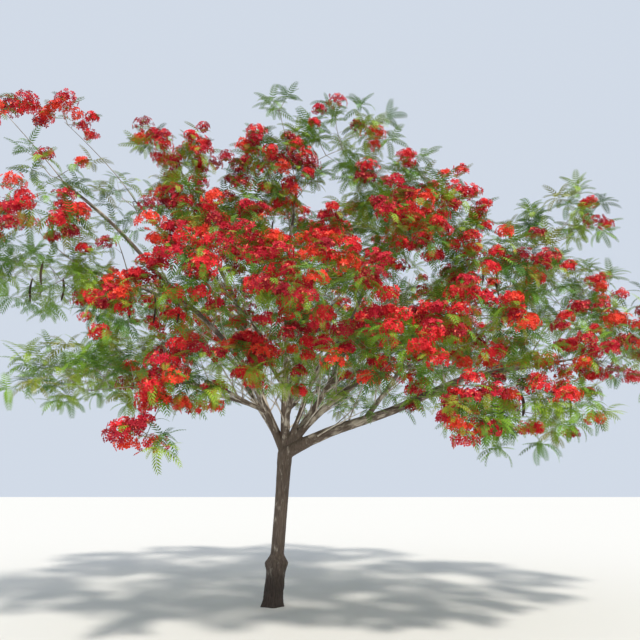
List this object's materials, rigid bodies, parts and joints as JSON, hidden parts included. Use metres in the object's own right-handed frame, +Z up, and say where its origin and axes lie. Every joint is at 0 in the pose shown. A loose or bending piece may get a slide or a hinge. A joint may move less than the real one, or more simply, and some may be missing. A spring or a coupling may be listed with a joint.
{
  "type": "flame tree",
  "caption": "Flowering shade tree with a slender leaning trunk, boughs fanning from one fork, and masses of feathery leaves and scarlet blossom on forking twigs.",
  "frame": {"origin": "centre of the flat cut under the trunk, at ground level", "axes": "+Z up; -Y towards the viewer of the reference view; +X to that viewer's right, the way the trunk leans"},
  "size_m": [15.4494, 13.5611, 11.2456],
  "materials": {
    "trunk_bark": "thin grey-brown bark, slightly rough, near black on the stout lumpy foot",
    "bough_bark": "smooth taupe bark with pale cream patches on the upper limbs, darker on thin twigs",
    "leaves": "soft matt feathery leaves, yellow-green to mid green",
    "blossom": "matt velvety petals, scarlet to orange-red, deeper in the shade",
    "pods": "dry woody flat pods, dark brown, half matt"
  },
  "bodies": {
    "root": {"bough_back_east": "bough_bark", "bough_back_west": "bough_bark", "bough_east": "bough_bark", "bough_east_far": "bough_bark", "bough_east_high": "bough_bark", "bough_east_low": "bough_bark", "bough_inner_east": "bough_bark", "bough_low_back_west": "bough_bark", "bough_low_north": "bough_bark", "bough_low_west": "bough_bark", "bough_north": "bough_bark", "bough_northeast": "bough_bark", "bough_northwest": "bough_bark", "bough_south": "bough_bark", "bough_southeast": "bough_bark", "bough_southwest": "bough_bark", "bough_west": "bough_bark", "bough_west_band": "bough_bark", "bough_west_whip": "bough_bark", "leader": "bough_bark", "mass_back_east": "leaves", "mass_back_east_top": "leaves", "mass_back_north": "leaves", "mass_back_north_low": "leaves", "mass_back_north_top": "blossom", "mass_back_northeast": "leaves", "mass_back_northwest": "leaves", "mass_back_west": "leaves", "mass_back_west_low": "leaves", "mass_east_back": "leaves", "mass_east_edge": "leaves", "mass_east_far": "blossom", "mass_east_far_top": "leaves", "mass_east_front": "blossom", "mass_east_hang": "leaves", "mass_east_middle": "blossom", "mass_east_top": "leaves", "mass_front_left": "blossom", "mass_front_middle": "blossom", "mass_front_right": "blossom", "mass_middle": "blossom", "mass_middle_left": "blossom", "mass_middle_low": "blossom", "mass_northeast_top": "leaves", "mass_northwest_top": "leaves", "mass_southeast_hang": "blossom", "mass_southwest_hang": "blossom", "mass_southwest_low": "leaves", "mass_southwest_middle": "blossom", "mass_southwest_tail": "blossom", "mass_top": "leaves", "mass_top_left": "blossom", "mass_top_mid": "blossom", "mass_top_right": "leaves", "mass_west_band": "blossom", "mass_west_high": "blossom", "mass_west_low": "leaves", "mass_west_mid": "leaves", "mass_west_whip": "blossom", "trunk": "trunk_bark"}
  },
  "joints": []
}
